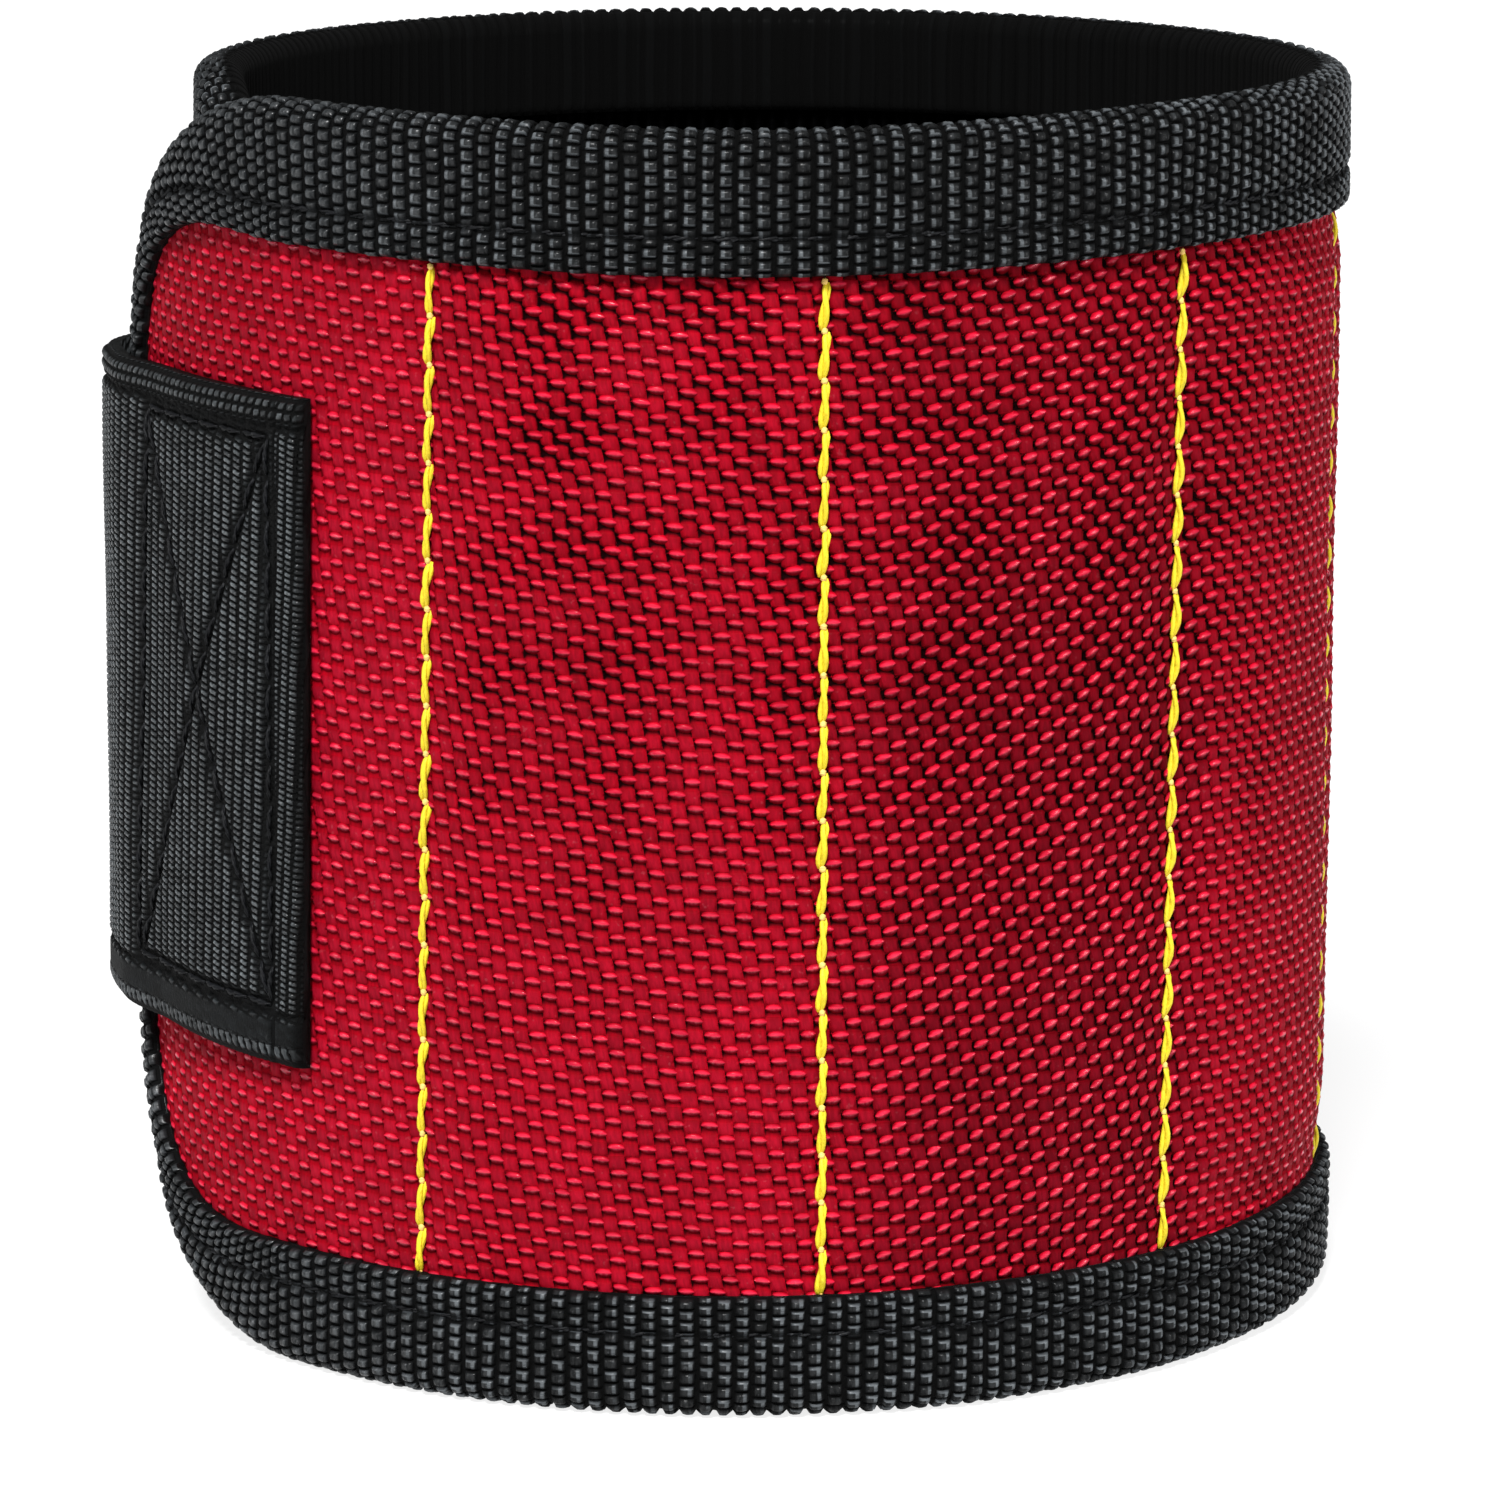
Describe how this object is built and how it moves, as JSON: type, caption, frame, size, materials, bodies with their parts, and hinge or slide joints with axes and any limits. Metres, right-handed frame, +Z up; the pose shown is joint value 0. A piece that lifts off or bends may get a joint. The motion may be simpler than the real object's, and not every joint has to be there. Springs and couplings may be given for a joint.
{
  "type": "magnetic wristband",
  "caption": "Padded wristband closed into a ring, with magnets sewn into stitched pockets, bound edges and a hook-and-loop webbing strap.",
  "frame": {"origin": "on the ring's axis, at the level of the lower rim that it stands on, within 1 mm of the middle of the bounding box", "axes": "+Z up along the ring's axis, the front with the sewn strap end at its left faces -Y, +X to the right seen from the front"},
  "size_m": [0.0911, 0.091, 0.09],
  "materials": {
    "red_face": "red coarse ballistic weave nylon",
    "binding": "black coarse woven binding tape",
    "lining": "black ribbed knit lining",
    "padding": "dark grey closed-cell foam",
    "magnet": "nickel-plated disc",
    "seam_thread": "thick yellow sewing thread",
    "loop_pile": "black brushed loop pile",
    "hook_pile": "black moulded hook tape",
    "webbing": "black ribbed nylon webbing"
  },
  "bodies": {
    "outer_end": {"end_face": "red_face", "end_lining": "lining", "end_binding": "binding", "strap_root": "webbing"},
    "pocket_1": {"pocket_1_face": "red_face", "pocket_1_padding": "padding", "pocket_1_lining": "lining", "pocket_1_top_binding": "binding", "pocket_1_bottom_binding": "binding", "pocket_1_magnet_1": "magnet", "pocket_1_magnet_2": "magnet", "pocket_1_magnet_3": "magnet", "seam_thread_1": "seam_thread"},
    "pocket_2": {"pocket_2_face": "red_face", "pocket_2_padding": "padding", "pocket_2_lining": "lining", "pocket_2_top_binding": "binding", "pocket_2_bottom_binding": "binding", "pocket_2_magnet_1": "magnet", "pocket_2_magnet_2": "magnet", "pocket_2_magnet_3": "magnet", "seam_thread_2": "seam_thread"},
    "pocket_3": {"pocket_3_face": "red_face", "pocket_3_padding": "padding", "pocket_3_lining": "lining", "pocket_3_top_binding": "binding", "pocket_3_bottom_binding": "binding", "pocket_3_magnet_1": "magnet", "pocket_3_magnet_2": "magnet", "pocket_3_magnet_3": "magnet", "seam_thread_3": "seam_thread"},
    "pocket_4": {"pocket_4_face": "red_face", "pocket_4_padding": "padding", "pocket_4_lining": "lining", "pocket_4_top_binding": "binding", "pocket_4_bottom_binding": "binding", "pocket_4_magnet_1": "magnet", "pocket_4_magnet_2": "magnet", "pocket_4_magnet_3": "magnet", "seam_thread_4": "seam_thread"},
    "pocket_5": {"pocket_5_face": "red_face", "pocket_5_padding": "padding", "pocket_5_lining": "lining", "pocket_5_top_binding": "binding", "pocket_5_bottom_binding": "binding", "pocket_5_magnet_1": "magnet", "pocket_5_magnet_2": "magnet", "pocket_5_magnet_3": "magnet", "seam_thread_5": "seam_thread"},
    "tail_1": {"tail_1_loop": "loop_pile", "tail_1_lining": "lining", "tail_1_top_binding": "binding", "tail_1_bottom_binding": "binding"},
    "tail_2": {"tail_2_loop": "loop_pile", "tail_2_lining": "lining", "tail_2_binding": "binding"},
    "strap_middle": {"strap_middle": "webbing"},
    "strap_back": {"strap_back": "webbing", "hook_patch": "hook_pile"},
    "strap_tip": {"strap_tip": "webbing"}
  },
  "joints": [
    {"name": "band_open", "type": "hinge", "parent": "pocket_2", "child": "pocket_3", "pos_m": [0.03164, -0.03186, 0.045], "axis": [0, 0, -1], "range_deg": [0, 36]},
    {"name": "pocket_1_open", "type": "hinge", "parent": "pocket_2", "child": "pocket_1", "pos_m": [0.00625, -0.04446, 0.045], "axis": [0, 0, 1], "range_deg": [0, 36]},
    {"name": "outer_end_open", "type": "hinge", "parent": "pocket_1", "child": "outer_end", "pos_m": [-0.02163, -0.03935, 0.045], "axis": [0, 0, 1], "range_deg": [0, 43.2]},
    {"name": "pocket_4_open", "type": "hinge", "parent": "pocket_3", "child": "pocket_4", "pos_m": [0.04442, -0.00656, 0.045], "axis": [0, 0, -1], "range_deg": [0, 36]},
    {"name": "pocket_5_open", "type": "hinge", "parent": "pocket_4", "child": "pocket_5", "pos_m": [0.0395, 0.02136, 0.045], "axis": [0, 0, -1], "range_deg": [0, 36]},
    {"name": "tail_open", "type": "hinge", "parent": "pocket_5", "child": "tail_1", "pos_m": [0.01883, 0.04076, 0.045], "axis": [0, 0, -1], "range_deg": [0, 52.2]},
    {"name": "tail_tip_open", "type": "hinge", "parent": "tail_1", "child": "tail_2", "pos_m": [-0.03021, 0.02749, 0.045], "axis": [0, 0, -1], "range_deg": [0, 68.4]},
    {"name": "strap_peel", "type": "hinge", "parent": "outer_end", "child": "strap_middle", "pos_m": [-0.04624, -0.00523, 0.045], "axis": [0, 0, 1], "range_deg": [0, 57.6]},
    {"name": "strap_back_peel", "type": "hinge", "parent": "strap_middle", "child": "strap_back", "pos_m": [-0.03496, 0.02377, 0.045], "axis": [0, 0, 1], "range_deg": [0, 54]},
    {"name": "strap_tip_peel", "type": "hinge", "parent": "strap_back", "child": "strap_tip", "pos_m": [-0.01253, 0.04324, 0.045], "axis": [0, 0, 1], "range_deg": [0, 75]}
  ],
  "couplings": [
    {"joint": "pocket_1_open", "follows": "band_open", "ratio": 1},
    {"joint": "outer_end_open", "follows": "band_open", "ratio": 1.2},
    {"joint": "pocket_4_open", "follows": "band_open", "ratio": 1},
    {"joint": "pocket_5_open", "follows": "band_open", "ratio": 1},
    {"joint": "tail_open", "follows": "band_open", "ratio": 1.45},
    {"joint": "tail_tip_open", "follows": "band_open", "ratio": 1.9},
    {"joint": "strap_peel", "follows": "band_open", "ratio": 1.6},
    {"joint": "strap_back_peel", "follows": "band_open", "ratio": 1.5}
  ]
}
